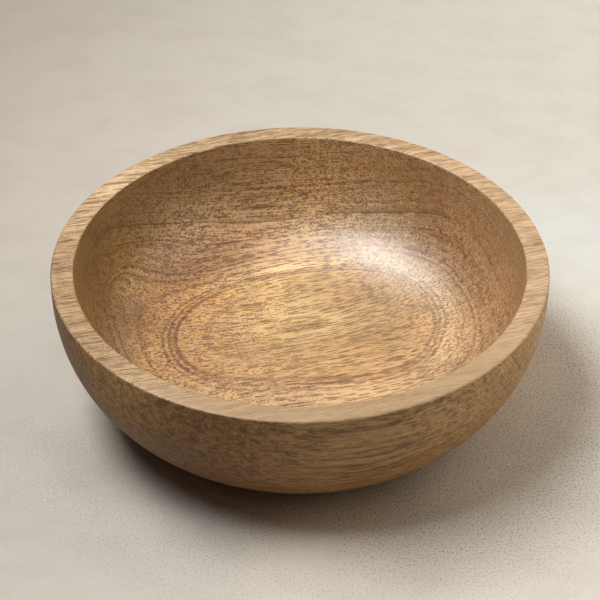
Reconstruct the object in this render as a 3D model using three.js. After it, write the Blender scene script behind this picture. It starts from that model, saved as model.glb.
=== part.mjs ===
// A round wooden bowl: one body turned from a single block, standing on felt pads under its foot.
// Millimetres, +Z up. The origin is on the bowl's axis, level with the undersides of the pads.

import * as THREE from "three";

// Turned body
const RIM_DIAMETER = 250; // outside, across the rim
const BODY_HEIGHT = 82; // from the foot's face to the top of the rim
const RIM_WIDTH = 11.5; // flat top of the wall
const LIP_HEIGHT = 8; // upright band of the wall under the rim, inside and out
const RIM_OUTER_ROUND = 1.5; // softened outer edge of the rim
const RIM_INNER_ROUND = 1; // softened inner edge of the rim
const FOOT_DIAMETER = 150; // flat underside that the outer curve grows from
const OUTER_SWEEP_DEGREES = 72; // part of a quarter ellipse that the outer curve turns through
const FLOOR_THICKNESS = 14; // wood between the foot's face and the inside floor
const FLOOR_DIAMETER = 52; // flat middle of the inside
const INSIDE_FULLNESS = 2.8; // 2 would make the inside wall a quarter ellipse, and more makes it fuller

// Shallow dovetail recess that the lathe's jaws gripped, in the middle of the foot
const FOOT_RING_WIDTH = 30; // flat ring left between the recess and the foot's edge
const RECESS_DEPTH = 3;
const RECESS_UNDERCUT = 0.6; // how far the recess widens towards its ceiling

// Self-adhesive felt pads, spaced round the middle of the foot's ring
const PAD_COUNT = 4;
const PAD_DIAMETER = 18;
const PAD_THICKNESS = 2;
const PAD_EDGE_ROUND = 0.5; // softened lower edge

// Smoothness of the round surfaces
const BODY_SIDES = 72;
const PAD_SIDES = 24;
const WALL_STEPS = 14;
const EDGE_STEPS = 3;

// Heights and radii that follow from the sizes above
const FOOT_Z = PAD_THICKNESS;
const RIM_Z = FOOT_Z + BODY_HEIGHT;
const LIP_Z = RIM_Z - LIP_HEIGHT;
const FLOOR_Z = FOOT_Z + FLOOR_THICKNESS;
const RIM_RADIUS = RIM_DIAMETER / 2;
const MOUTH_RADIUS = RIM_RADIUS - RIM_WIDTH;
const FOOT_RADIUS = FOOT_DIAMETER / 2;
const FLOOR_RADIUS = FLOOR_DIAMETER / 2;
const RECESS_RADIUS = FOOT_RADIUS - FOOT_RING_WIDTH;
const PAD_RADIUS = PAD_DIAMETER / 2;
const PAD_CIRCLE_RADIUS = FOOT_RADIUS - FOOT_RING_WIDTH / 2;

const QUARTER_TURN = Math.PI / 2;
const HALF_TURN = Math.PI;

const oiledWood = new THREE.MeshStandardMaterial({ color: 0xc49a68, roughness: 0.5, metalness: 0 });
const woolFelt = new THREE.MeshStandardMaterial({ color: 0x6b5a48, roughness: 0.95, metalness: 0 });

// Points along an elliptical arc from one angle to another, both ends included
function arcPoints(centre, radiusAcross, radiusUp, fromAngle, toAngle, steps) {
  const clockwise = toAngle < fromAngle;
  const arc = new THREE.EllipseCurve(centre.x, centre.y, radiusAcross, radiusUp, fromAngle, toAngle, clockwise);
  return arc.getPoints(steps);
}

// Points down a full curve, from upright at its top to level at its bottom
function fullCurvePoints(centre, radiusAcross, radiusDown, fullness, steps) {
  const points = [];
  for (let step = 0; step <= steps; step += 1) {
    const angle = (step / steps) * QUARTER_TURN;
    const across = Math.cos(angle) ** (2 / fullness);
    const down = Math.sin(angle) ** (2 / fullness);
    points.push(new THREE.Vector2(centre.x + radiusAcross * across, centre.y - radiusDown * down));
  }
  return points;
}

// Solid of revolution about +Z from a half outline of (radius, height) points
function turned(outline, sides) {
  const geometry = new THREE.LatheGeometry(outline, sides);
  geometry.rotateX(QUARTER_TURN);
  return geometry;
}

// Underside: ceiling and dovetail side of the recess, then the foot's ring out to the outer curve
function undersideOutline() {
  const ceilingZ = FOOT_Z + RECESS_DEPTH;
  return [
    new THREE.Vector2(0, ceilingZ),
    new THREE.Vector2(RECESS_RADIUS + RECESS_UNDERCUT, ceilingZ),
    new THREE.Vector2(RECESS_RADIUS, FOOT_Z),
  ];
}

// Outside of the wall, from the foot's edge up to the lip, upright where it meets the lip
function outsideOutline() {
  const sweep = THREE.MathUtils.degToRad(OUTER_SWEEP_DEGREES);
  const across = (RIM_RADIUS - FOOT_RADIUS) / (1 - Math.cos(sweep));
  const up = (LIP_Z - FOOT_Z) / Math.sin(sweep);
  const centre = new THREE.Vector2(RIM_RADIUS - across, LIP_Z);
  return arcPoints(centre, across, up, -sweep, 0, WALL_STEPS);
}

// Flat rim with its two softened edges
function rimOutline() {
  const outerCentre = new THREE.Vector2(RIM_RADIUS - RIM_OUTER_ROUND, RIM_Z - RIM_OUTER_ROUND);
  const innerCentre = new THREE.Vector2(MOUTH_RADIUS + RIM_INNER_ROUND, RIM_Z - RIM_INNER_ROUND);
  return [
    ...arcPoints(outerCentre, RIM_OUTER_ROUND, RIM_OUTER_ROUND, 0, QUARTER_TURN, EDGE_STEPS),
    ...arcPoints(innerCentre, RIM_INNER_ROUND, RIM_INNER_ROUND, QUARTER_TURN, HALF_TURN, EDGE_STEPS),
  ];
}

// Inside of the wall, from the lip down to the flat floor, level where it meets the floor
function insideOutline() {
  const across = MOUTH_RADIUS - FLOOR_RADIUS;
  const down = LIP_Z - FLOOR_Z;
  const centre = new THREE.Vector2(FLOOR_RADIUS, LIP_Z);
  return [
    ...fullCurvePoints(centre, across, down, INSIDE_FULLNESS, WALL_STEPS),
    new THREE.Vector2(0, FLOOR_Z),
  ];
}

// The bowl itself, one piece of wood
function makeBowlBody() {
  const outline = [
    ...undersideOutline(),
    ...outsideOutline(),
    ...rimOutline(),
    ...insideOutline(),
  ];
  const body = new THREE.Mesh(turned(outline, BODY_SIDES), oiledWood);
  body.name = "bowl_body";
  return body;
}

// One felt disc, its upper face glued flat against the foot
function makeFeltPad(name) {
  const edgeCentre = new THREE.Vector2(PAD_RADIUS - PAD_EDGE_ROUND, PAD_EDGE_ROUND);
  const outline = [
    new THREE.Vector2(0, 0),
    ...arcPoints(edgeCentre, PAD_EDGE_ROUND, PAD_EDGE_ROUND, -QUARTER_TURN, 0, EDGE_STEPS),
    new THREE.Vector2(PAD_RADIUS, PAD_THICKNESS),
    new THREE.Vector2(0, PAD_THICKNESS),
  ];
  const pad = new THREE.Mesh(turned(outline, PAD_SIDES), woolFelt.clone());
  pad.name = name;
  return pad;
}

// The pads, evenly spaced and half a step off the X axis
function makeFeltPads() {
  const pads = new THREE.Group();
  for (let index = 0; index < PAD_COUNT; index += 1) {
    const angle = ((index + 0.5) / PAD_COUNT) * 2 * Math.PI;
    const pad = makeFeltPad(`felt_pad_${index + 1}`);
    pad.position.set(PAD_CIRCLE_RADIUS * Math.cos(angle), PAD_CIRCLE_RADIUS * Math.sin(angle), 0);
    pads.add(pad);
  }
  return pads;
}

const bowl = new THREE.Group();
bowl.add(makeBowlBody());
bowl.add(makeFeltPads());

export default bowl;
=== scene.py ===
"""A turned wooden bowl on felt pads: its fine surfaces, its wood and felt, and a plain studio round it.

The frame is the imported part's: +Z up, with the origin on the bowl's axis under its pads. Shapes are in
metres and patterns in millimetres. The wood is a solid pattern: its growth rings are arcs about a pith
line far below the bowl, and its pores and fibres run along the grain, so each surface shows its own cut.
"""

import logging
import math
from dataclasses import dataclass, field
from enum import Enum
from typing import Any, Dict, List, Optional, Sequence, Tuple, Union

import bpy
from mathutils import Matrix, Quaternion, Vector


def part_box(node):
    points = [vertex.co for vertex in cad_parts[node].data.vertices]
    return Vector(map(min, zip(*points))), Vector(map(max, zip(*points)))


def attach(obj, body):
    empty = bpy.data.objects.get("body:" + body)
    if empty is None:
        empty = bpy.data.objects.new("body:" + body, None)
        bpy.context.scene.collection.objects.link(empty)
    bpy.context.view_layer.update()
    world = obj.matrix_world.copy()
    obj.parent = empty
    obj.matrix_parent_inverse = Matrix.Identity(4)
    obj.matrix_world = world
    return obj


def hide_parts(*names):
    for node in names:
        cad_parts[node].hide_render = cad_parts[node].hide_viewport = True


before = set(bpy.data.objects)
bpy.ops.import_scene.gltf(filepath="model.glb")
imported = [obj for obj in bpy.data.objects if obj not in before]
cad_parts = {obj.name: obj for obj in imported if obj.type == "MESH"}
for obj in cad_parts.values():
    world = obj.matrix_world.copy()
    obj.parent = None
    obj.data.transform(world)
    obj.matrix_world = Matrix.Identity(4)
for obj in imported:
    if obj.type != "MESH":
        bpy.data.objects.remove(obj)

LOG = logging.getLogger("bowl")
MILLIMETRE = 0.001
WELD_DISTANCE = MILLIMETRE / 1000
QUARTER_TURN = math.pi / 2
FULL_TURN = 2 * math.pi
NOISE_MEAN = 0.5

Colour = Tuple[float, float, float]
Place = Tuple[float, float, float]
Pair = Tuple[float, float]
Operand = Union[float, "Tone"]


class Body(Enum):
    """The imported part's rigid bodies."""

    BOWL = "root"


class Slot(Enum):
    """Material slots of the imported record."""

    WOOD = "wood"
    FELT = "felt"


class Mixing(Enum):
    """Ways in which two colours mix."""

    PLAIN = "MIX"
    TINT = "MULTIPLY"


class Tone:
    """A value that varies over a surface: a node's output that joins in arithmetic."""

    def __init__(self, bench: "NodeBench", socket: bpy.types.NodeSocket) -> None:
        """Keeps an output socket and the bench whose tree it belongs to."""
        self.bench = bench
        self.socket = socket

    def _math(self, operation: str, *operands: Operand) -> "Tone":
        """The result of one Math node whose sockets take the operands in order."""
        return self.bench.node("ShaderNodeMath", {"operation": operation}, dict(enumerate(operands)))

    def __add__(self, other: Operand) -> "Tone":
        """Sum."""
        return self._math("ADD", self, other)

    __radd__ = __add__

    def __sub__(self, other: Operand) -> "Tone":
        """Difference."""
        return self._math("SUBTRACT", self, other)

    def __rsub__(self, other: Operand) -> "Tone":
        """Difference, with this value taken away."""
        return self._math("SUBTRACT", other, self)

    def __mul__(self, other: Operand) -> "Tone":
        """Product."""
        return self._math("MULTIPLY", self, other)

    __rmul__ = __mul__

    def __truediv__(self, other: Operand) -> "Tone":
        """Quotient."""
        return self._math("DIVIDE", self, other)

    def __abs__(self) -> "Tone":
        """Size without its sign."""
        return self._math("ABSOLUTE", self)

    def root(self) -> "Tone":
        """Square root."""
        return self._math("SQRT", self)

    def at_least(self, limit: Operand) -> "Tone":
        """The larger of this value and a limit."""
        return self._math("MAXIMUM", self, limit)

    def above_zero(self, ease: float) -> "Tone":
        """This value where it is positive, eased into zero below."""
        return (self + (self * self + ease * ease).root()) * 0.5

    def ramp(self, low: Operand, high: Operand, to_low: Operand = 0.0, to_high: Operand = 1.0) -> "Tone":
        """Eases from one result to the other as this value crosses the range from low to high."""
        inputs = {"Value": self, "From Min": low, "From Max": high, "To Min": to_low, "To Max": to_high}
        return self.bench.node("ShaderNodeMapRange", {"interpolation_type": "SMOOTHSTEP"}, inputs)

    def tinted(self, tint: Any, amount: Operand = 1.0) -> "Tone":
        """This colour times a tint, by an amount."""
        return self.bench.blend(self, tint, amount, Mixing.TINT)

    def output(self, name: str) -> "Tone":
        """Another output of the same node."""
        return Tone(self.bench, self.socket.node.outputs[name])


class NodeBench:
    """The nodes of one material, with one method that makes them all."""

    def __init__(self, name: str) -> None:
        """Starts a material that has its shader and its output.

        Args:
            name: The material's name.
        """
        self.material = bpy.data.materials.new(name)
        self.material.use_nodes = True
        self.tree = self.material.node_tree

    def node(
        self,
        kind: str,
        settings: Optional[Dict[str, Any]] = None,
        inputs: Optional[Dict[Union[str, int], Any]] = None,
        output: Union[str, int] = 0,
    ) -> Tone:
        """Makes a node, sets it up and feeds its sockets.

        Args:
            kind: The node's type.
            settings: Its own settings, set before its sockets.
            inputs: Values or tones for its sockets, by name or place.
            output: Name or place of the output to return.

        Returns:
            That output as a tone.
        """
        made = self.tree.nodes.new(kind)
        for name, value in (settings or {}).items():
            if name == "stops":
                self._set_stops(made.color_ramp.elements, value)
            else:
                setattr(made, name, value)
        self._feed(made, inputs or {})
        return Tone(self, made.outputs[output])

    def _feed(self, node: bpy.types.Node, inputs: Dict[Union[str, int], Any]) -> None:
        """Links tones to a node's sockets and sets plain values on them.

        Args:
            node: The node.
            inputs: Values or tones for its sockets, by name or place.
        """
        for name, value in inputs.items():
            socket = node.inputs[name]
            if isinstance(value, Tone):
                self.tree.links.new(value.socket, socket)
            else:
                socket.default_value = value

    @staticmethod
    def _set_stops(elements: Any, stops: Sequence[Tuple[float, Tuple[float, ...]]]) -> None:
        """Fills a new ramp, which comes with two stops.

        Args:
            elements: The ramp's stops.
            stops: Place and colour of each stop, in order.
        """
        for _ in stops[2:]:
            elements.new(1.0)
        for element, (position, colour) in zip(elements, stops):
            element.position = position
            element.color = colour

    def place(self, turn: float = 0.0) -> Tone:
        """Object coordinates in millimetres, turned about the bowl's axis.

        Args:
            turn: Angle in radians from +X to the pattern's own X.

        Returns:
            The turned coordinates as a vector.
        """
        own = self.node("ShaderNodeTexCoord", output="Object")
        inputs = {"Vector": own, "Rotation": (0.0, 0.0, -turn), "Scale": (1 / MILLIMETRE,) * 3}
        return self.node("ShaderNodeMapping", {"vector_type": "POINT"}, inputs)

    def parts(self, vector: Tone) -> Tuple[Tone, Tone, Tone]:
        """The three components of a vector."""
        split = self.node("ShaderNodeSeparateXYZ", inputs={"Vector": vector}, output="X")
        return split, split.output("Y"), split.output("Z")

    def joined(self, x: Operand, y: Operand, z: Operand) -> Tone:
        """A vector from three components."""
        return self.node("ShaderNodeCombineXYZ", inputs={"X": x, "Y": y, "Z": z})

    def distance(self, vector: Tone, centre: Place) -> Tone:
        """How far a place is from a centre."""
        inputs = {0: vector, 1: centre}
        return self.node("ShaderNodeVectorMath", {"operation": "DISTANCE"}, inputs, output="Value")

    def stretched(self, vector: Tone, length: float, width: float, shift: float) -> Tone:
        """A place in units of a thread's length along X and its width across, then shifted."""
        inputs = {0: vector, 1: (1 / length, 1 / width, 1 / width), 2: (shift,) * 3}
        return self.node("ShaderNodeVectorMath", {"operation": "MULTIPLY_ADD"}, inputs)

    def noise_along(self, position: Tone, detail: float, roughness: float = 0.5) -> Tone:
        """Noise over a single value, from 0 to 1, with finer layers by detail and roughness."""
        inputs = {"W": position, "Scale": 1.0, "Detail": detail, "Roughness": roughness}
        return self.node("ShaderNodeTexNoise", {"noise_dimensions": "1D"}, inputs)

    def blend(self, first: Any, second: Any, amount: Operand, mixing: Mixing = Mixing.PLAIN) -> Tone:
        """Mixes two colours.

        Args:
            first: Colour or tone at amount 0.
            second: Colour or tone at amount 1.
            amount: Share of the second.
            mixing: How they mix.

        Returns:
            The mixed colour.
        """
        ready = [c if isinstance(c, Tone) else (*c, 1.0) for c in (first, second)]
        settings = {"data_type": "RGBA", "blend_type": mixing.value, "clamp_factor": True}
        return self.node("ShaderNodeMix", settings, {0: amount, 6: ready[0], 7: ready[1]}, output=2)

    def bump(self, height: Tone, depth: float, strength: float) -> Tone:
        """A normal bumped by a height, where a height of 1 stands for the depth in metres."""
        inputs = {"Strength": strength, "Distance": depth, "Height": height}
        return self.node("ShaderNodeBump", inputs=inputs)

    def surface(self, inputs: Dict[Union[str, int], Any]) -> bpy.types.Material:
        """Feeds the material's shader and hands the material over."""
        self._feed(self.tree.nodes["Principled BSDF"], inputs)
        return self.material


@dataclass(frozen=True)
class Span:
    """A range that a value crosses, and what the result eases between on the way."""

    start: float
    end: float
    low: float = 0.0
    high: float = 1.0

    def over(self, value: Tone) -> Tone:
        """The eased result over a value."""
        return value.ramp(self.start, self.end, self.low, self.high)


@dataclass(frozen=True)
class Threads:
    """Marks of one size, drawn out along the grain."""

    length: float
    width: float
    shift: float = 0.0
    detail: float = 1.0
    roughness: float = 0.5
    stir: float = 0.0

    def lay(self, place: Tone) -> Tone:
        """Soft noise over a place whose X runs along the grain.

        Args:
            place: The place, in millimetres.

        Returns:
            The noise, from 0 to 1, about one mark to each length and width.
        """
        inputs = {
            "Vector": place.bench.stretched(place, self.length, self.width, self.shift),
            "Scale": 1.0,
            "Detail": self.detail,
            "Roughness": self.roughness,
            "Distortion": self.stir,
        }
        return place.bench.node("ShaderNodeTexNoise", {"noise_dimensions": "3D"}, inputs)


@dataclass(frozen=True)
class Pores:
    """Scattered short pores, drawn out along the grain, with sizes in cells."""

    length: float
    width: float
    reach: float
    shift: float = 0.0
    smallest: float = 0.6
    largest: float = 1.4
    core: float = 0.45

    def lay(self, place: Tone) -> Tone:
        """The pores over a place whose X runs along the grain.

        Args:
            place: The place, in millimetres.

        Returns:
            1 inside a pore and 0 between pores.
        """
        bench = place.bench
        settings = {"voronoi_dimensions": "3D", "feature": "F1"}
        inputs = {"Vector": bench.stretched(place, self.length, self.width, self.shift), "Scale": 1.0}
        away = bench.node("ShaderNodeTexVoronoi", settings, inputs, output="Distance")
        size, _, _ = bench.parts(away.output("Color"))
        edge = size.ramp(0.0, 1.0, self.reach * self.smallest, self.reach * self.largest)
        return away.ramp(edge * self.core, edge, 1.0, 0.0)


@dataclass(frozen=True)
class Patch:
    """A soft round patch where a colour turns."""

    centre: Place
    reach: float
    tint: Colour

    def lay(self, place: Tone, colour: Tone) -> Tone:
        """A colour at a place, turned if it is inside the patch."""
        away = place.bench.distance(place, self.centre)
        return colour.tinted(self.tint, away.ramp(self.reach, 0.0))


@dataclass(frozen=True)
class GrowthRings:
    """Where the growth rings lie in the block, in the grain's directions.

    The block was sawn flat, so its rings lie nearly level under the floor of the bowl and show there as
    nested ovals. A ring is known by its level, its height over the innermost ring that the floor cuts.
    Factors in pairs go with a place and with its square, or with the places along and across.
    """

    floor_height: float = 16.0
    pith_across: float = 47.0
    pith_below: float = 256.0
    floor_bow: Pair = (-0.037, 0.00022)
    heel: float = 0.012
    heel_start: float = 62.0
    wall_rise: Span = Span(5, 28)
    wall_base: float = 17.0
    wall_dip: Pair = (-0.1035, 0.000612)
    wall_bow: Pair = (-0.0257, -0.00152)
    wall_twist: float = 0.000535
    figure_base: float = -60.0
    figure_lean: Pair = (0.104, 0.59)
    figure_bow: float = -0.0006
    right_arch: float = 0.000074
    right_arch_across: float = 55.0
    right_arch_ease: float = 22.0
    left_arch: float = 0.028
    left_arch_along: float = -64.0
    left_arch_across: float = 72.0
    left_arch_eases: Pair = (12.0, 14.0)

    def step(self, level: float) -> float:
        """A level on the even scale that lines are drawn on, wider apart near the floor."""
        return math.sqrt(level + 1.0)

    def steps(self, level: Tone) -> Tone:
        """A varying level on the same even scale."""
        return (level + 1.0).at_least(0.0).root()

    def floor_level(self, spot: Sequence[Tone]) -> Tone:
        """Level of the rings that the floor cuts: arcs about a pith line far below it.

        Args:
            spot: Places along, across and up.

        Returns:
            The level.
        """
        along, across, up = spot
        side = across - self.pith_across
        height = up + self.pith_below
        radius = (side * side + height * height).root() - (self.pith_below + self.floor_height)
        bow = along * self.floor_bow[0] + along * along * self.floor_bow[1]
        heel = (across - self.heel_start).at_least(0.0)
        return radius + bow + heel * heel * self.heel

    def wall_level(self, spot: Sequence[Tone]) -> Tone:
        """Level of the rings that the wall cuts, which dip towards the back and both ends.

        Args:
            spot: Places along, across and up.

        Returns:
            The level.
        """
        along, across, up = spot
        dip = across * self.wall_dip[0] + across * across * self.wall_dip[1]
        bow = along * self.wall_bow[0] + along * along * self.wall_bow[1]
        return up - self.floor_height + self.wall_base + dip + bow + along * across * self.wall_twist

    def figure_level(self, spot: Sequence[Tone]) -> Tone:
        """Level of the dark lines on the wall, which lean down towards the back and arch at both ends.

        Args:
            spot: Places along, across and up.

        Returns:
            The level.
        """
        along, across, up = spot
        leaning = along * self.figure_lean[0] + across * self.figure_lean[1]
        bow = along * along * self.figure_bow
        right = along.at_least(0.0)
        right_front = (self.right_arch_across - across).above_zero(self.right_arch_ease)
        left = (self.left_arch_along - along).above_zero(self.left_arch_eases[0])
        left_front = (self.left_arch_across - across).above_zero(self.left_arch_eases[1])
        arches = right * right * right_front * self.right_arch + left * left_front * self.left_arch
        return up + self.figure_base + leaning + bow + arches

    def eased(self, low: Tone, high: Tone, up: Tone) -> Tone:
        """Eases from a floor's level to a wall's level above it."""
        return low + (high - low) * self.wall_rise.over(up - self.floor_height)


@dataclass(frozen=True)
class Heart:
    """The small pale lens in the middle of the rings, placed along and across."""

    centre: Pair = (8.0, 35.0)
    half_size: Pair = (19.0, 7.5)
    wobble: float = 0.35
    tint: Colour = (0.95, 0.92, 0.88)
    inside: Span = Span(0.95, 0.75)
    edge: float = 1.08
    edge_light: Span = Span(0, 0.30, 0.95, 0)

    def reach(self, at: "WoodPoint") -> Tone:
        """Distance from the lens's centre in its own half sizes: 1 at its edge.

        Args:
            at: A point of the wood, whose dashes make the edge uneven.

        Returns:
            The distance.
        """
        ahead = (at.along - self.centre[0]) / self.half_size[0]
        aside = (at.swayed - self.centre[1]) / self.half_size[1]
        return (ahead * ahead + aside * aside).root() + (at.dashes - NOISE_MEAN) * self.wobble


class WoodPoint:
    """A point of the wood: its place in the grain's directions, its share of each part, and its marks."""

    def __init__(self, wood: "OiledWood", bench: NodeBench) -> None:
        """Finds where the point is, and lays its marks along a swaying grain.

        Args:
            wood: The wood's sizes.
            bench: The material's nodes.
        """
        rings = wood.rings
        self.bench = bench
        self.place = bench.place(wood.grain_turn)
        self.along, self.across, self.up = bench.parts(self.place)
        self.wall = wood.wall_heights.over(self.up)
        self.rim = wood.rim_heights.over(self.up)
        self.below_rim = 1 - self.rim
        self.polish = wood.polish(bench)
        self.outer = (1 - self.polish) * self.below_rim
        self.inner = 1 - self.outer
        aside, lift, self.fading = bench.parts(wood.sway.lay(self.place).output("Color"))
        self.swayed = self.across + (aside - NOISE_MEAN) * wood.side_sway
        lifted = self.up + (lift - NOISE_MEAN) * wood.lift_sway * (self.up - rings.floor_height)
        swayed = (self.along, self.swayed, lifted)
        floor = rings.floor_level(swayed)
        self.level = rings.eased(floor, rings.wall_level(swayed), lifted)
        self.figure = rings.eased(floor, rings.figure_level((self.along, self.across, lifted)), lifted)
        grain = bench.joined(self.along, self.swayed, self.up)
        self.dots = wood.dots.lay(grain)
        self.pores = wood.pores.lay(grain)
        self.dashes = wood.dashes.lay(grain)
        self.fibres = wood.fibres.lay(grain)
        self.streaks = wood.streaks.lay(grain)
        layered = self.figure * wood.layer_step + self.dashes * wood.layer_wobble
        self.layers = bench.noise_along(layered, wood.layer_detail, wood.layer_roughness)


@dataclass(frozen=True)
class OiledWood:
    """Open-pored tan hardwood, polished inside and plain outside.

    A zone is a ring level and its colour. A line is a ring level, a half width on the even scale and a
    strength. A strength in two numbers is the one everywhere and what the banded end of the wall adds.
    """

    name: str = "oiled_wood"
    grain_turn: float = math.radians(14.7)
    rings: GrowthRings = GrowthRings()
    heart: Heart = Heart()
    top_level: float = 110.0
    zones: Tuple[Tuple[float, Colour], ...] = (
        (-0.50, (0.730, 0.465, 0.205)), (0.30, (0.710, 0.450, 0.190)),
        (1.00, (0.680, 0.418, 0.172)), (2.00, (0.640, 0.385, 0.150)),
        (4.50, (0.670, 0.402, 0.158)), (6.20, (0.640, 0.372, 0.143)),
        (8.50, (0.705, 0.440, 0.200)), (10.5, (0.705, 0.440, 0.203)),
        (13, (0.640, 0.385, 0.180)), (16, (0.570, 0.330, 0.150)),
        (20, (0.550, 0.322, 0.147)), (30, (0.560, 0.330, 0.150)),
        (40, (0.530, 0.320, 0.145)), (55, (0.490, 0.300, 0.135)),
        (70, (0.480, 0.295, 0.133)), (85, (0.520, 0.330, 0.158)),
        (108, (0.520, 0.330, 0.158)),
    )
    lines: Tuple[Tuple[float, float, float], ...] = (
        (3.2, 0.10, 0.35), (6.2, 0.09, 0.85), (7.1, 0.07, 0.80),
        (8, 0.06, 0.70), (11.5, 0.07, 0.55), (14.8, 0.08, 0.40),
        (17.2, 0.09, 0.60), (22, 0.07, 0.60), (26, 0.06, 0.35),
        (30, 0.07, 0.60), (35, 0.06, 0.30), (40, 0.09, 0.95),
        (44, 0.06, 0.30), (47.5, 0.07, 0.65), (53, 0.07, 0.40),
        (60, 0.07, 0.45), (67, 0.07, 0.35),
    )
    # Soft patches of colour. Most are the wood's own changes of tone; the ones marked below are painted
    # light.
    patches: Tuple[Patch, ...] = (
        # Painted bounce light: lifts the back of the floor and the lower back wall.
        Patch((0, 95, 26), 78, (1.52, 1.59, 1.66)),
        Patch((40, 102, 64), 75, (1.28, 1.36, 1.46)),
        Patch((-75, 80, 66), 60, (0.84, 0.92, 0.98)),
        Patch((-34, 105, 82), 46, (0.78, 0.79, 0.80)),
        # Painted sheen: greyish lifts on the lower back-left wall where the coat catches light.
        Patch((-50, 96, 48), 34, (1.50, 1.70, 2.15)),
        Patch((-77, 69, 40), 34, (1.64, 1.68, 1.42)),
        Patch((-72, 46, 25), 26, (0.74, 0.66, 0.54)),
        Patch((-25, 88, 28), 34, (0.84, 0.78, 0.72)),
        Patch((92, 12, 28), 32, (0.80, 0.78, 0.74)),
        Patch((21, 59, 18), 28, (0.88, 0.87, 0.86)),
        Patch((-97, 58, 58), 40, (0.70, 0.67, 0.44)),
        Patch((90, 70, 62), 38, (0.92, 0.84, 0.72)),
        Patch((2, 113, 67), 45, (0.75, 0.77, 0.81)),
        Patch((27, -20, 16), 45, (1.20, 1.20, 1.20)),
        # Painted highlight: spreads the coat's highlight up the back-right wall.
        Patch((76, 74, 32), 44, (1.16, 1.32, 1.60)),
        Patch((90, 2, 22), 44, (1.36, 1.36, 1.34)),
        Patch((-52, 22, 16), 36, (0.98, 0.94, 0.90)),
        Patch((-48, 70, 20), 40, (1.02, 0.90, 0.76)),
        # Painted reflection of the lamp on the outside just under the front-left lip.
        Patch((-107, -66, 80), 50, (1.60, 1.90, 2.45)),
        Patch((26, 26, 16), 60, (1.01, 1.01, 0.97)),
        Patch((68, 30, 22), 38, (0.94, 0.90, 0.84)),
        Patch((-44, 78, 28), 30, (0.82, 0.81, 0.76)),
        Patch((-54, 101, 66), 28, (0.82, 0.86, 0.90)),
        # Painted sheen on the back wall.
        Patch((-26, 105, 45), 26, (1.18, 1.34, 1.46)),
        Patch((-28, 110, 64), 28, (0.78, 0.78, 0.76)),
        Patch((-12, 82, 24), 28, (0.84, 0.83, 0.79)),
    )

    sway: Threads = Threads(55, 34)
    side_sway: float = 8.0
    lift_sway: float = 0.12
    dots: Pores = Pores(2.0, 0.75, reach=0.47)
    pores: Pores = Pores(8.5, 0.72, reach=0.47, shift=2.7)
    dashes: Threads = Threads(7.5, 1, shift=7.3, detail=1.5, roughness=0.6)
    fibres: Threads = Threads(22, 0.65, shift=11.9)
    streaks: Threads = Threads(60, 2.6, shift=3.1, detail=2.5, roughness=0.6)
    clouds: Threads = Threads(70, 34, shift=1.7, detail=2)
    layer_step: float = 0.9
    layer_wobble: float = 0.8
    layer_detail: float = 2.0
    layer_roughness: float = 0.65

    wall_heights: Span = Span(22, 40)
    rim_heights: Span = Span(82.8, 83.6)
    rim_polish: Span = Span(82, 83.5, 1, 0.3)
    facing_in: Span = Span(-0.1, 0.1)

    rose_tint: Colour = (0.96, 0.91, 0.90)
    rose_cloud: Span = Span(0.45, 0.65)
    olive_tint: Colour = (0.93, 0.92, 0.88)
    olive_cloud: Span = Span(0.48, 0.68)
    left_floor_tint: Colour = (0.90, 0.83, 0.74)
    left_wall_tint: Colour = (0.74, 0.67, 0.48)
    left_end: Span = Span(-20, -85)

    rim_colour: Colour = (0.620, 0.405, 0.215)
    # Painted light and shade on the rim: lighter on the right, darker on the left.
    painted_light_rim_right_tint: Colour = (1.2, 1.21, 1.27)
    painted_light_rim_right: Span = Span(20, 100)
    painted_shade_rim_left_tint: Colour = (0.83, 0.80, 0.75)
    painted_shade_rim_left: Span = Span(-80, -115)
    rim_back_left_tint: Colour = (1.24, 1.27, 1.30)
    rim_back_left: Tuple[Span, Span] = (Span(-30, -70), Span(30, 65))
    # Painted light and shade on the outside: the outer wall is painted darker on the left and lighter on
    # the right, and darker low down where it curves under.
    painted_shade_outside_left: Colour = (0.60, 0.49, 0.34)
    painted_light_outside_right: Colour = (1.27, 1.24, 1.18)
    painted_light_outside_ends: Span = Span(-70, 110)
    painted_shade_outside_low: Colour = (0.75, 0.70, 0.60)
    painted_shade_outside_heights: Span = Span(74, 25)

    pore_cover: float = 0.22
    dot_floor: Span = Span(30, -60, 0.4, 2.7)
    dot_wall: Span = Span(80, 30, 0.6, 2.6)
    dot_layers: Span = Span(0.38, 0.60, 0.55, 1.25)
    dot_loss: float = 0.8
    pore_strength: float = 1.9
    pore_wall_loss: float = 0.55
    pore_outer_loss: float = 0.4
    dash_strength: float = 1.6
    fibre_strength: float = 3.0
    banded_end: Span = Span(70, 20)
    streak_strength: Pair = (2.2, 2.4)
    layer_strength: Pair = (1.3, 2.2)
    calm_rim_front: Span = Span(-50, -100, 0, 0.78)
    calm_rim_right: Span = Span(40, 100, 0, 0.35)
    calm_outer: float = 0.3
    # Painted highlight: the marks are weakened round this place, where the coat's highlight falls.
    shine_place: Place = (56.0, 66.0, 26.0)
    shine_calm: Span = Span(58, 10, 1, 0.55)
    shade_range: Span = Span(-0.85, 0.85)
    light_tint: Colour = (1.35, 1.45, 1.57)
    dark_tint: Colour = (0.50, 0.41, 0.32)
    deep_tint: Colour = (0.43, 0.31, 0.20)
    deep_end: Span = Span(-20, -70)

    line_tint: Colour = (0.46, 0.39, 0.32)
    line_fade: Span = Span(0.32, 0.55, 0.5, 1)
    line_ends: Span = Span(60, -50, 0.75, 1.3)
    line_left_loss: Span = Span(-50, -80, 0, 0.45)
    line_dash_wobble: float = 0.16
    line_streak_wobble: float = 0.10
    line_wall_loss: float = 0.6
    hair_spacing: float = 4.6
    hair_wobble: float = 6.0
    hair_line: Span = Span(0, 0.05, 0.50, 0)
    hair_fade: Span = Span(0.42, 0.58, 0.15, 1)

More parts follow.
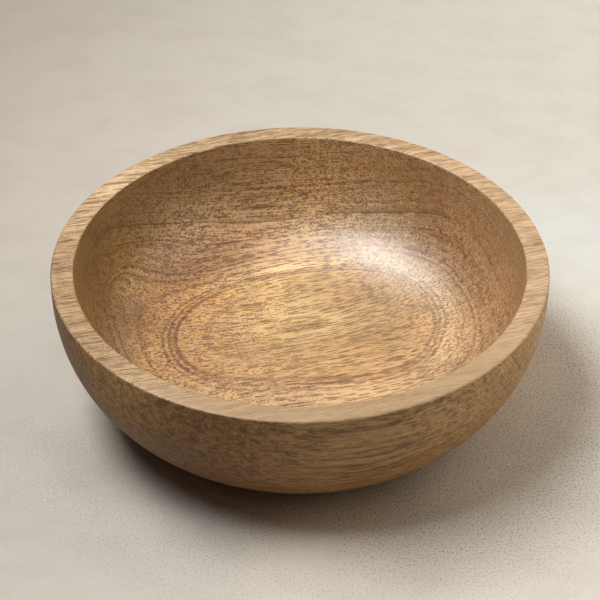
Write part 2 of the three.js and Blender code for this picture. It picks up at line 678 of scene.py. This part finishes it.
    polished: float = 0.42
    plain: float = 0.55
    dash_roughness: float = 0.15
    sheen: float = 0.35
    polish_roughness: float = 0.40
    polish_index: float = 1.80
    mark_depth: float = -0.33
    relief_depth: float = 0.00006
    relief_strength: float = 0.5

    def polish(self, bench: NodeBench) -> Tone:
        """Where the wood is polished: 1 inside the bowl, less on its rim, 0 elsewhere.

        Args:
            bench: The material's nodes.

        Returns:
            The share of polish.
        """
        normal = bench.node("ShaderNodeNewGeometry", output="Normal")
        x, y, up = bench.parts(bench.place())
        flat = {0: bench.joined(x, y, 0.0)}
        both = {0: normal, 1: bench.node("ShaderNodeVectorMath", {"operation": "NORMALIZE"}, flat)}
        lean = bench.node("ShaderNodeVectorMath", {"operation": "DOT_PRODUCT"}, both, output="Value")
        _, _, rise = bench.parts(normal)
        return self.facing_in.over(rise - lean) * self.rim_polish.over(up)

    def ring_colour(self, at: WoodPoint) -> Tone:
        """The wood's colour by its rings, with its soft clouds and patches, some of them painted light.

        Args:
            at: A point of the wood.

        Returns:
            The colour.
        """
        top = self.rings.step(self.top_level)
        stops = [(self.rings.step(level) / top, (*tone, 1.0)) for level, tone in self.zones]
        share = self.rings.steps(at.level) / top
        colour = at.bench.node("ShaderNodeValToRGB", {"stops": stops}, {"Fac": share})
        _, rose, olive = at.bench.parts(self.clouds.lay(at.place).output("Color"))
        colour = colour.tinted(self.rose_tint, self.rose_cloud.over(rose))
        colour = colour.tinted(self.olive_tint, self.olive_cloud.over(olive))
        left_tint = at.bench.blend(self.left_floor_tint, self.left_wall_tint, at.wall)
        colour = colour.tinted(left_tint, self.left_end.over(at.along))
        # Patches, some of them painted sheen, highlight, reflection and bounce light.
        for patch in self.patches:
            colour = patch.lay(at.place, colour)
        return colour

    def side_colour(self, at: WoodPoint, colour: Tone) -> Tone:
        """Turns the colour on the rim and on the outside, with painted light and shade: both lighter on
        the right and darker on the left, and the outside darker low down where it curves under.

        Args:
            at: A point of the wood.
            colour: The colour by rings.

        Returns:
            The colour by rings and sides.
        """
        along_span, across_span = self.rim_back_left
        back_left = along_span.over(at.along) * across_span.over(at.across)
        colour = at.bench.blend(colour, self.rim_colour, at.rim)
        # Painted light on the rim's right end and painted shade on its left end.
        colour = colour.tinted(self.painted_light_rim_right_tint, at.rim * self.painted_light_rim_right.over(at.along))
        colour = colour.tinted(self.rim_back_left_tint, at.rim * back_left)
        colour = colour.tinted(self.painted_shade_rim_left_tint, at.rim * self.painted_shade_rim_left.over(at.along))
        # Painted light and shade: the outside is darker on the left, lighter on the right and darker low
        # down.
        outside = at.bench.blend(self.painted_shade_outside_left, self.painted_light_outside_right, self.painted_light_outside_ends.over(at.along))
        outside = outside.tinted(self.painted_shade_outside_low, self.painted_shade_outside_heights.over(at.up))
        return colour.tinted(outside, at.outer)

    def calm(self, at: WoodPoint) -> Tone:
        """Where the marks are weaker: at the rim's front and right, outside, and where the polish shines.

        Args:
            at: A point of the wood.

        Returns:
            The share of the marks that stays.
        """
        front = 1 - self.calm_rim_front.over(at.across) * at.rim
        right = 1 - self.calm_rim_right.over(at.along) * at.rim
        # Painted highlight: the marks fade round shine_place, where the coat's highlight falls.
        shine = self.shine_calm.over(at.bench.distance(at.place, self.shine_place))
        return front * right * (1 - at.outer * self.calm_outer) * shine

    def shade(self, at: WoodPoint) -> Tone:
        """All the marks together.

        Args:
            at: A point of the wood.

        Returns:
            How dark they are: positive in a mark and negative between marks.
        """
        dot_strength = self.dot_floor.over(at.along).at_least(at.wall * self.dot_wall.over(at.along))
        dot_strength = dot_strength * (1 - at.outer * self.dot_loss) * (1 - at.rim * self.dot_loss)
        dot_strength = dot_strength * self.dot_layers.over(at.layers)
        pore_strength = (1 - at.wall * self.pore_wall_loss) * (1 - at.outer * self.pore_outer_loss)
        pore_strength = pore_strength * self.pore_strength
        banded = at.wall * self.banded_end.over(at.along) * at.below_rim
        streak_strength = self.streak_strength[0] + banded * self.streak_strength[1]
        layer_strength = self.layer_strength[0] + banded * self.layer_strength[1]
        shade = (at.dots - self.pore_cover) * dot_strength
        shade = shade + (at.pores - self.pore_cover) * pore_strength
        shade = shade + (at.dashes - NOISE_MEAN) * self.dash_strength
        shade = shade + (at.fibres - NOISE_MEAN) * self.fibre_strength
        shade = shade + (at.streaks - NOISE_MEAN) * streak_strength
        shade = shade + (at.layers - NOISE_MEAN) * layer_strength * at.below_rim * at.inner
        return shade * self.calm(at)

    def grain_colour(self, at: WoodPoint, colour: Tone) -> Tone:
        """Darkens the colour in the marks, lightens it between them, and shows the lens on the floor.

        Args:
            at: A point of the wood.
            colour: The colour without marks.

        Returns:
            The colour with them.
        """
        reach = self.heart.reach(at)
        on_floor = (1 - at.wall) * at.inner
        edge_light = self.heart.edge_light.over(abs(reach - self.heart.edge)) * on_floor
        shade = self.shade(at) - edge_light
        deep = (at.wall * at.inner).at_least(self.deep_end.over(at.along)) * at.below_rim
        dark = at.bench.blend(self.dark_tint, self.deep_tint, deep)
        tint = at.bench.blend(self.light_tint, dark, self.shade_range.over(shade))
        colour = colour.tinted(self.heart.tint, self.heart.inside.over(reach) * on_floor)
        return colour.tinted(tint)

    def line_colour(self, at: WoodPoint, colour: Tone) -> Tone:
        """Draws the dark ring lines, and hair lines between them on the wall.

        Args:
            at: A point of the wood.
            colour: The colour without lines.

        Returns:
            The colour with them.
        """
        dashes = at.dashes - NOISE_MEAN
        streaks = at.streaks - NOISE_MEAN
        fade = self.line_fade.over(at.fading) * at.below_rim * self.line_ends.over(at.along)
        fade = fade * (1 - self.line_left_loss.over(at.along) * at.wall)
        wobble = dashes * self.line_dash_wobble + streaks * self.line_streak_wobble
        step = self.rings.steps(at.figure) + wobble * (1 - at.wall * self.line_wall_loss)
        for level, width, strength in self.lines:
            near = abs(step - self.rings.step(level)).ramp(0.0, width, strength, 0.0)
            colour = colour.tinted(self.line_tint, near * fade)
        hairs = at.bench.noise_along((at.figure + streaks * self.hair_wobble) / self.hair_spacing, 1.0)
        hair = self.hair_line.over(abs(hairs - NOISE_MEAN)) * self.hair_fade.over(at.fading)
        return colour.tinted(self.line_tint, hair * at.wall * at.below_rim * at.inner)

    def make(self) -> bpy.types.Material:
        """Builds the material.

        Returns:
            The finished material.
        """
        bench = NodeBench(self.name)
        at = WoodPoint(self, bench)
        colour = self.ring_colour(at)
        colour = self.side_colour(at, colour)
        colour = self.grain_colour(at, colour)
        colour = self.line_colour(at, colour)
        roughness = at.polish * (self.polished - self.plain) + self.plain
        relief = (at.dots + at.pores + at.fibres) * self.mark_depth
        inputs = {
            "Base Color": colour,
            "Roughness": roughness + (at.dashes - NOISE_MEAN) * self.dash_roughness,
            "Specular IOR Level": self.sheen,
            "Coat Weight": at.polish,
            "Coat Roughness": self.polish_roughness,
            "Coat IOR": self.polish_index,
            "Normal": bench.bump(relief, self.relief_depth, self.relief_strength),
        }
        return bench.surface(inputs)


@dataclass(frozen=True)
class WoolFelt:
    """Pressed brown wool felt."""

    name: str = "wool_felt"
    colour: Colour = (0.15, 0.10, 0.07)
    worn: Colour = (0.27, 0.19, 0.13)
    fibres: Threads = Threads(0.5, 0.5, detail=3, stir=2.5)
    clumps: Threads = Threads(3, 3, shift=4, detail=2)
    colour_fibres: float = 0.6
    worn_range: Span = Span(0.35, 0.65)
    height_fibres: float = 0.7
    nap_depth: float = 0.0003
    nap_strength: float = 0.8
    roughness: float = 0.95

    def make(self) -> bpy.types.Material:
        """Builds the material.

        Returns:
            The finished material.
        """
        bench = NodeBench(self.name)
        place = bench.place()
        fibres = self.fibres.lay(place)
        clumps = self.clumps.lay(place)
        wear = fibres * self.colour_fibres + clumps * (1 - self.colour_fibres)
        height = fibres * self.height_fibres + clumps * (1 - self.height_fibres)
        inputs = {
            "Base Color": bench.blend(self.colour, self.worn, self.worn_range.over(wear)),
            "Roughness": self.roughness,
            "Normal": bench.bump(height, self.nap_depth, self.nap_strength),
        }
        return bench.surface(inputs)


@dataclass(frozen=True)
class PalePlaster:
    """The plain pale ground under the bowl: trowelled plaster, with painted light and shade in its
    colour.
    """

    name: str = "pale_plaster"
    # Painted light and shade: the ground is painted darker on the left and lighter on the right, darker
    # towards the far left and lighter in front of the bowl.
    dim: Colour = (0.660, 0.602, 0.512)
    bright: Colour = (0.840, 0.800, 0.728)
    drift: Threads = Threads(190, 130, detail=3, roughness=0.55)
    drift_reach: float = 120.0
    side_lean: float = -0.2
    sides: Span = Span(-330, 200)
    painted_shade_far_tint: Colour = (0.70, 0.685, 0.665)
    far_lean: float = 0.6
    far: Span = Span(200, 600)
    painted_light_front_tint: Colour = (1.12, 1.11, 1.10)
    front: Tuple[Span, Span] = (Span(-240, -40), Span(-100, -190))
    patches: Tuple[Patch, ...] = (
        # Painted shadow on the ground to the front right of the bowl.
        Patch((250, -110, 0), 130, (0.90, 0.88, 0.84)),
        # Painted light lifting the shadow in front of the bowl.
        Patch((6, -118, 0), 55, (1.46, 1.44, 1.40)),
        # Painted light on the ground behind the bowl to the right.
        Patch((165, 130, 0), 120, (1.04, 1.10, 1.15)),
        # Painted contact shadow at the bowl's front left.
        Patch((-80, -50, 0), 60, (0.74, 0.72, 0.70)),
    )
    stain: Threads = Threads(34, 26, shift=5, detail=3, roughness=0.6)
    stain_tint: Colour = (0.955, 0.950, 0.94)
    stain_range: Span = Span(0.42, 0.66)
    grit: Threads = Threads(1.1, 0.95, detail=3, roughness=0.7)
    grit_light: Colour = (1.07, 1.07, 1.07)
    grit_dark: Colour = (0.42, 0.39, 0.35)
    grit_range: Span = Span(0.50, 0.66)
    # The plaster has grit everywhere; its dark specks are made stronger in and round the bowl's shadow as
    # painted shade of the plaster's relief.
    grit_centre: Place = (60.0, -20.0, 0.0)
    grit_right: Span = Span(160, 90, 0.15, 1)
    grit_front: Span = Span(-20, -160, 0, 0.12)
    grit_round: Tuple[Span, Span] = (Span(195, 140, 0, 0.5), Span(40, -60))
    grit_depth: float = 0.0005
    grit_strength: float = 0.3
    unlit: Colour = (0.0, 0.0, 0.0)
    far_glow: Colour = (0.58, 0.53, 0.455)
    glow: Span = Span(380, 1200)
    glow_strength: float = 1.0
    roughness: float = 0.85

    def colour(self, place: Tone) -> Tone:
        """The plaster's colour with its painted light and shade, without its grit.

        Args:
            place: The place, in millimetres.

        Returns:
            The colour.
        """
        across, back, _ = place.bench.parts(place)
        drift = (self.drift.lay(place) - NOISE_MEAN) * self.drift_reach
        # Painted light and shade across the ground: lighter to the right, darker far left, lighter in
        # front.
        side = self.sides.over(across + back * self.side_lean + drift)
        across_span, back_span = self.front
        colour = place.bench.blend(self.dim, self.bright, side)
        colour = colour.tinted(self.painted_shade_far_tint, self.far.over(back * self.far_lean - across))
        colour = colour.tinted(self.painted_light_front_tint, back_span.over(back) * across_span.over(across))
        # Painted shadows and painted light round the bowl.
        for patch in self.patches:
            colour = patch.lay(place, colour)
        return colour.tinted(self.stain_tint, self.stain_range.over(self.stain.lay(place)))

    def make(self) -> bpy.types.Material:
        """Builds the material. Only the camera sees its far glow, which lights nothing.

        Returns:
            The finished material.
        """
        bench = NodeBench(self.name)
        place = bench.place()
        _, back, _ = bench.parts(place)
        away = bench.distance(place, (0.0, 0.0, 0.0))
        grit = self.grit.lay(place)
        round_span, back_span = self.grit_round
        # Painted shade: the dark specks gather in and round the bowl's shadow.
        near = self.grit_right.over(bench.distance(place, self.grit_centre))
        near = near.at_least(self.grit_front.over(back))
        near = near.at_least(round_span.over(away) * back_span.over(back))
        specks = bench.blend(self.grit_light, self.grit_dark, self.grit_range.over(grit))
        seen = bench.node("ShaderNodeLightPath", output="Is Camera Ray")
        inputs = {
            "Base Color": self.colour(place).tinted(specks, near),
            "Roughness": self.roughness,
            "Emission Color": bench.blend(self.unlit, self.far_glow, self.glow.over(away) * seen),
            "Emission Strength": self.glow_strength,
            "Normal": bench.bump(grit, self.grit_depth, self.grit_strength),
        }
        return bench.surface(inputs)


class Lathe:
    """Models solids of revolution about the Z axis, by extruding an outline and spinning it."""

    def __init__(self, steps: int) -> None:
        """Sets the number of steps in a full turn."""
        self.steps = steps

    def turn(self, name: str, outline: Sequence[Pair]) -> bpy.types.Object:
        """Turns a half outline into a closed solid.

        Args:
            name: The new object's name.
            outline: Points of (radius, height) from axis to axis, in metres.

        Returns:
            The object, with its place in its mesh.
        """
        start = outline[0]
        bpy.ops.object.select_all(action="DESELECT")
        bpy.ops.mesh.primitive_plane_add(size=MILLIMETRE, location=(start[0], 0.0, start[1]))
        piece = bpy.context.object
        piece.name = piece.data.name = name
        bpy.ops.object.transform_apply(location=True, rotation=True, scale=True)
        bpy.ops.object.mode_set(mode="EDIT")
        bpy.ops.mesh.merge(type="CENTER")
        for before, after in zip(outline, outline[1:]):
            step = (after[0] - before[0], 0.0, after[1] - before[1])
            bpy.ops.mesh.extrude_vertices_move(TRANSFORM_OT_translate={"value": step})
        bpy.ops.mesh.select_all(action="SELECT")
        bpy.ops.mesh.spin(steps=self.steps, angle=FULL_TURN, center=(0.0, 0.0, 0.0), axis=(0.0, 0.0, 1.0))
        bpy.ops.mesh.select_all(action="SELECT")
        bpy.ops.mesh.remove_doubles(threshold=WELD_DISTANCE)
        bpy.ops.mesh.normals_make_consistent(inside=False)
        bpy.ops.object.mode_set(mode="OBJECT")
        return piece


def arc(centre: Pair, across: float, up: float, start: float, end: float, steps: int) -> List[Pair]:
    """Points along an ellipse's arc about a centre of (radius, height), both end angles included."""
    angles = (start + (end - start) * i / steps for i in range(steps + 1))
    return [(centre[0] + across * math.cos(a), centre[1] + up * math.sin(a)) for a in angles]


@dataclass
class BowlBody:
    """The turned body, finer than its solid, with outer sizes read from the frame."""

    node: str = "bowl_body"
    rim_width: float = 0.0115
    lip_height: float = 0.008
    rim_outer_round: float = 0.0015
    rim_inner_round: float = 0.001
    foot_radius: float = 0.075
    outer_sweep: float = math.radians(72)
    floor_thickness: float = 0.014
    floor_radius: float = 0.026
    inside_fullness: float = 2.8
    recess_radius: float = 0.045
    recess_depth: float = 0.003
    recess_undercut: float = 0.0006
    wall_steps: int = 48
    edge_steps: int = 8
    turn_steps: int = 192
    smooth_angle: float = math.radians(30)
    finish: OiledWood = field(default_factory=OiledWood)

    def __post_init__(self) -> None:
        """Reads the foot's height, the rim's height and the rim's radius from the frame."""
        low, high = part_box(self.node)
        self.foot_z = low.z
        self.rim_z = high.z
        self.rim_radius = high.x
        self.mouth_radius = self.rim_radius - self.rim_width
        self.lip_z = self.rim_z - self.lip_height
        self.floor_z = self.foot_z + self.floor_thickness

    def underside(self) -> List[Pair]:
        """Outlines the recess and the inner edge of the foot's ring.

        Returns:
            Points from the axis out.
        """
        ceiling = self.foot_z + self.recess_depth
        return [
            (0.0, ceiling),
            (self.recess_radius + self.recess_undercut, ceiling),
            (self.recess_radius, self.foot_z),
        ]

    def outside(self) -> List[Pair]:
        """Outlines the outer wall.

        Returns:
            Points from the foot's edge up to the lip.
        """
        across = (self.rim_radius - self.foot_radius) / (1 - math.cos(self.outer_sweep))
        up = (self.lip_z - self.foot_z) / math.sin(self.outer_sweep)
        centre = (self.rim_radius - across, self.lip_z)
        return arc(centre, across, up, -self.outer_sweep, 0.0, self.wall_steps)

    def rim(self) -> List[Pair]:
        """Outlines the flat rim and its softened edges.

        Returns:
            Points from the outer edge in.
        """
        outer, inner = self.rim_outer_round, self.rim_inner_round
        outer_centre = (self.rim_radius - outer, self.rim_z - outer)
        inner_centre = (self.mouth_radius + inner, self.rim_z - inner)
        return [
            *arc(outer_centre, outer, outer, 0.0, QUARTER_TURN, self.edge_steps),
            *arc(inner_centre, inner, inner, QUARTER_TURN, math.pi, self.edge_steps),
        ]

    def inside(self) -> List[Pair]:
        """Outlines the inner wall, fuller than an ellipse, and the floor.

        Returns:
            Points from the lip down to the axis.
        """
        across = self.mouth_radius - self.floor_radius
        down = self.lip_z - self.floor_z
        power = 2 / self.inside_fullness
        angles = (QUARTER_TURN * i / self.wall_steps for i in range(self.wall_steps))
        wall = [
            (self.floor_radius + across * math.cos(a) ** power, self.lip_z - down * math.sin(a) ** power)
            for a in angles
        ]
        return [*wall, (self.floor_radius, self.floor_z), (0.0, self.floor_z)]

    def build(self) -> bpy.types.Object:
        """Turns the body and dresses it.

        Returns:
            The finished piece, riding on the bowl.
        """
        outline = [*self.underside(), *self.outside(), *self.rim(), *self.inside()]
        piece = Lathe(self.turn_steps).turn("turned_bowl", outline)
        bpy.ops.object.shade_smooth_by_angle(angle=self.smooth_angle)
        piece.data.materials.append(self.finish.make())
        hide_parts(self.node)
        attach(piece, Body.BOWL.value)
        return piece


@dataclass
class FeltPads:
    """The felt discs under the foot, each finer than its solid."""

    prefix: str = "felt_pad_"
    edge_round: float = 0.0005
    edge_steps: int = 5
    turn_steps: int = 48
    smooth_angle: float = math.radians(40)
    finish: WoolFelt = field(default_factory=WoolFelt)

    def nodes(self) -> List[str]:
        """Names of the pads' nodes in the frame, in order."""
        return sorted(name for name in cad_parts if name.startswith(self.prefix))

    def outline(self, radius: float, top: float) -> List[Pair]:
        """Half outline of a pad on the axis, with a softened lower edge.

        Args:
            radius: The pad's radius.
            top: Height of its upper face.

        Returns:
            Points from the axis below to the axis above.
        """
        soft = self.edge_round
        edge = arc((radius - soft, soft), soft, soft, -QUARTER_TURN, 0.0, self.edge_steps)
        return [(0.0, 0.0), *edge, (radius, top), (0.0, top)]

    def build(self) -> List[bpy.types.Object]:
        """Turns one pad, copies it to each place and dresses the copies.

        Returns:
            The finished pads, riding on the bowl.
        """
        names = self.nodes()
        low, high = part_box(names[0])
        pattern = Lathe(self.turn_steps).turn("felt_disc", self.outline((high.x - low.x) / 2, high.z))
        bpy.ops.object.shade_smooth_by_angle(angle=self.smooth_angle)
        felt = self.finish.make()
        pads = []
        for name in names:
            low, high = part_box(name)
            bpy.ops.object.select_all(action="DESELECT")
            pattern.select_set(True)
            bpy.context.view_layer.objects.active = pattern
            bpy.ops.object.duplicate(linked=False)
            pad = bpy.context.object
            pad.name = pad.data.name = name.replace("felt_pad", "felt_disc")
            pad.location = ((low.x + high.x) / 2, (low.y + high.y) / 2, 0.0)
            bpy.ops.object.transform_apply(location=True, rotation=True, scale=True)
            pad.data.materials.append(felt)
            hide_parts(name)
            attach(pad, Body.BOWL.value)
            pads.append(pad)
        bpy.data.objects.remove(pattern)
        return pads


@dataclass(frozen=True)
class SoftLamp:
    """A large soft lamp that faces the bowl, with its power in watts."""

    name: str
    place: Place
    width: float
    height: float
    power: float
    colour: Colour = (1.0, 1.0, 1.0)
    spin: float = 0.0
    shows: bool = True
    lights: bool = True
    target: Place = (0.0, 0.0, 0.05)

    def build(self) -> None:
        """Adds the lamp."""
        bpy.ops.object.light_add(type="AREA", location=self.place)
        lamp = bpy.context.object
        lamp.name = lamp.data.name = self.name
        lamp.data.shape = "RECTANGLE"
        lamp.data.size = self.width
        lamp.data.size_y = self.height
        lamp.data.energy = self.power
        lamp.data.color = self.colour
        lamp.visible_camera = False
        lamp.visible_glossy = self.shows
        lamp.visible_diffuse = self.lights
        facing = (Vector(self.place) - Vector(self.target)).to_track_quat("Z", "Y")
        lamp.rotation_euler = (facing @ Quaternion((0.0, 0.0, 1.0), self.spin)).to_euler()


@dataclass
class Studio:
    """The pale ground, the lamps, the room's light and the camera."""

    ground_size: float = 60.0
    ground_finish: PalePlaster = field(default_factory=PalePlaster)
    room: Colour = (0.9, 0.88, 0.85)
    room_strength: float = 0.02
    camera_elevation: float = math.radians(36.09)
    camera_distance: float = 1.0318
    camera_aim_height: float = 0.0588
    camera_lens: float = 123.2
    camera_far_end: float = 50.0
    lamps: Sequence[SoftLamp] = (
        SoftLamp("window_lamp", (-0.55, 0.02, 1.42), 1.10, 0.50, 17.6, spin=math.radians(16)),
        SoftLamp("window_glow", (-0.98, -0.42, 1.36), 0.9, 0.8, 4.0, lights=False),
        SoftLamp("back_lamp", (-0.12, 0.85, 1.27), 1.0, 1.0, 1.8),
        SoftLamp("low_back_lamp", (0.97, 1.08, 0.40), 0.5, 0.5, 2.2, shows=False),
        SoftLamp("near_right_lamp", (0.55, 0.30, 0.32), 0.85, 0.8, 1.3, colour=(1.0, 0.88, 0.70)),
        SoftLamp("front_right_lamp", (0.48, -0.06, 0.54), 0.95, 0.9, 1.0, colour=(1.0, 0.90, 0.76)),
    )

    def ground(self) -> None:
        """Lays the ground under the pads."""
        bpy.ops.object.select_all(action="DESELECT")
        bpy.ops.mesh.primitive_plane_add(size=self.ground_size)
        ground = bpy.context.object
        ground.name = "ground"
        ground.data.materials.append(self.ground_finish.make())

    def light(self) -> None:
        """Sets up the lamps and the room's even light."""
        for lamp in self.lamps:
            lamp.build()
        world = bpy.data.worlds.new("room")
        world.use_nodes = True
        backdrop = world.node_tree.nodes["Background"]
        backdrop.inputs["Color"].default_value = (*self.room, 1.0)
        backdrop.inputs["Strength"].default_value = self.room_strength
        bpy.context.scene.world = world

    def camera(self, rim_z: float) -> None:
        """Sets up the camera at the photograph's angle.

        Args:
            rim_z: Height of the rim, which the camera's distance is measured from.
        """
        level = self.camera_distance * math.cos(self.camera_elevation)
        height = rim_z + self.camera_distance * math.sin(self.camera_elevation)
        place = Vector((0.0, -level, height))
        aim = Vector((0.0, 0.0, self.camera_aim_height)) - place
        bpy.ops.object.camera_add(location=place)
        camera = bpy.context.object
        camera.name = "photo_camera"
        camera.rotation_euler = aim.to_track_quat("-Z", "Y").to_euler()
        camera.data.lens = self.camera_lens
        camera.data.clip_end = self.camera_far_end
        bpy.context.scene.camera = camera


def main() -> None:
    """Builds the bowl, its pads and the studio."""
    logging.basicConfig(level=logging.INFO, format="%(name)s: %(message)s")
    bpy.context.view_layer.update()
    body = BowlBody()
    bowl = body.build()
    LOG.info("%s has %d faces", bowl.name, len(bowl.data.polygons))
    for pad in FeltPads().build():
        LOG.info("%s has %d faces", pad.name, len(pad.data.polygons))
    studio = Studio()
    studio.ground()
    studio.light()
    studio.camera(body.rim_z)
    bpy.context.scene.view_settings.view_transform = "Standard"


if __name__ == "__main__":
    main()
